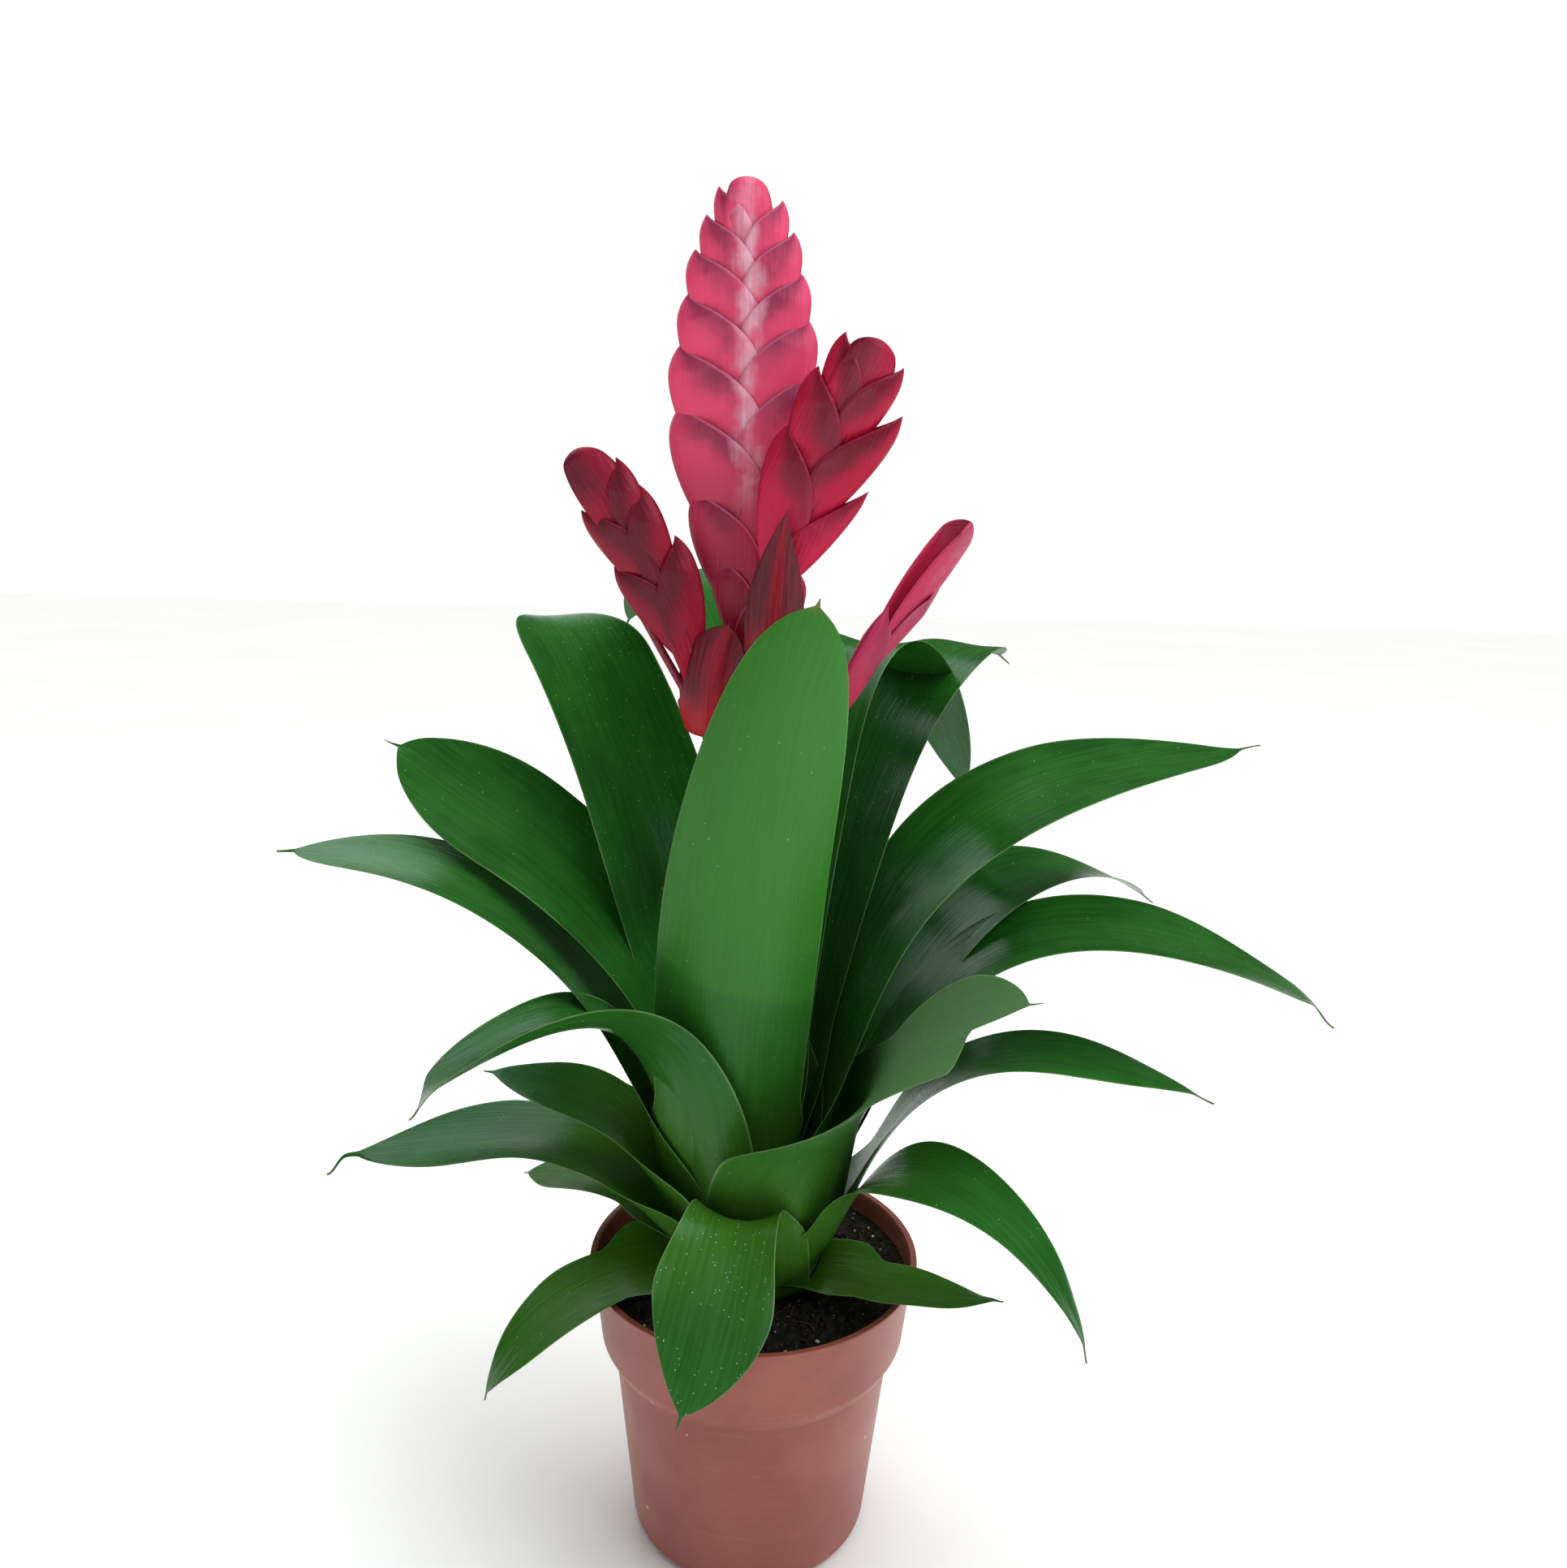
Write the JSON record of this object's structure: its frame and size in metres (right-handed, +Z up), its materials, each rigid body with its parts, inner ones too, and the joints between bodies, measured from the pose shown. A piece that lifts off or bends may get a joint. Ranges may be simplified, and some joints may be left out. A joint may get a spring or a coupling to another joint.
{
  "type": "potted flaming sword bromeliad",
  "caption": "Potted flaming sword bromeliad: an arching rosette of strap leaves round a branched, flattened pink and red flower spike, growing in peat in a round plastic pot.",
  "frame": {"origin": "centre of the pot's flat base, on the surface that the pot stands on", "axes": "+Z up along the pot's axis, -Y towards the plant's front, +X to the right seen from the front"},
  "size_m": [0.3793, 0.2592, 0.4725],
  "materials": {
    "leaf": "smooth, satin to glossy leaf",
    "pink_bract": "satin coral to crimson bract",
    "red_bract": "satin crimson bract",
    "stem": "fleshy green to red stem",
    "pot_plastic": "satin terracotta-coloured plastic",
    "peat": "loose dark peat with pale grit"
  },
  "bodies": {
    "root": {"pot": "pot_plastic", "potting_soil": "peat", "stem": "stem", "leaf_front_upright": "leaf", "leaf_back_left_arching": "leaf", "leaf_back_right_arching": "leaf", "leaf_left_wide": "leaf", "leaf_right_long": "leaf", "leaf_left_slender": "leaf", "leaf_right_inner": "leaf", "leaf_right_drooping": "leaf", "leaf_front_right_folded": "leaf", "leaf_left_arching": "leaf", "leaf_right_low": "leaf", "leaf_left_short": "leaf", "leaf_left_low_long": "leaf", "leaf_left_lowest": "leaf", "leaf_right_hanging": "leaf", "leaf_right_small": "leaf", "leaf_front_left_hanging": "leaf", "leaf_front_hanging": "leaf", "leaf_rear_right_tall": "leaf", "leaf_rear_left_tall": "leaf", "leaf_rear_middle": "leaf", "leaf_rear_right_low": "leaf", "leaf_rear_left_low": "leaf", "branch_bract_front": "red_bract", "branch_bract_left": "red_bract", "main_spike_bract_1": "pink_bract", "main_spike_bract_2": "pink_bract", "main_spike_bract_3": "pink_bract", "main_spike_bract_4": "pink_bract", "main_spike_bract_5": "pink_bract", "main_spike_bract_6": "pink_bract", "main_spike_bract_7": "pink_bract", "main_spike_bract_8": "pink_bract", "main_spike_bract_9": "pink_bract", "main_spike_bract_10": "pink_bract", "main_spike_bract_11": "pink_bract", "main_spike_bract_12": "pink_bract", "main_spike_bract_13": "pink_bract", "main_spike_bract_14": "pink_bract", "main_spike_bract_15": "pink_bract", "main_spike_bract_16": "pink_bract", "right_spike_bract_1": "red_bract", "right_spike_bract_2": "red_bract", "right_spike_bract_3": "red_bract", "right_spike_bract_4": "red_bract", "right_spike_bract_5": "red_bract", "right_spike_bract_6": "red_bract", "right_spike_bract_7": "red_bract", "left_spike_bract_1": "red_bract", "left_spike_bract_2": "red_bract", "left_spike_bract_3": "red_bract", "left_spike_bract_4": "red_bract", "left_spike_bract_5": "red_bract", "left_spike_bract_6": "red_bract", "thin_spike_bract_1": "red_bract", "thin_spike_bract_2": "red_bract", "thin_spike_bract_3": "red_bract"}
  },
  "joints": []
}
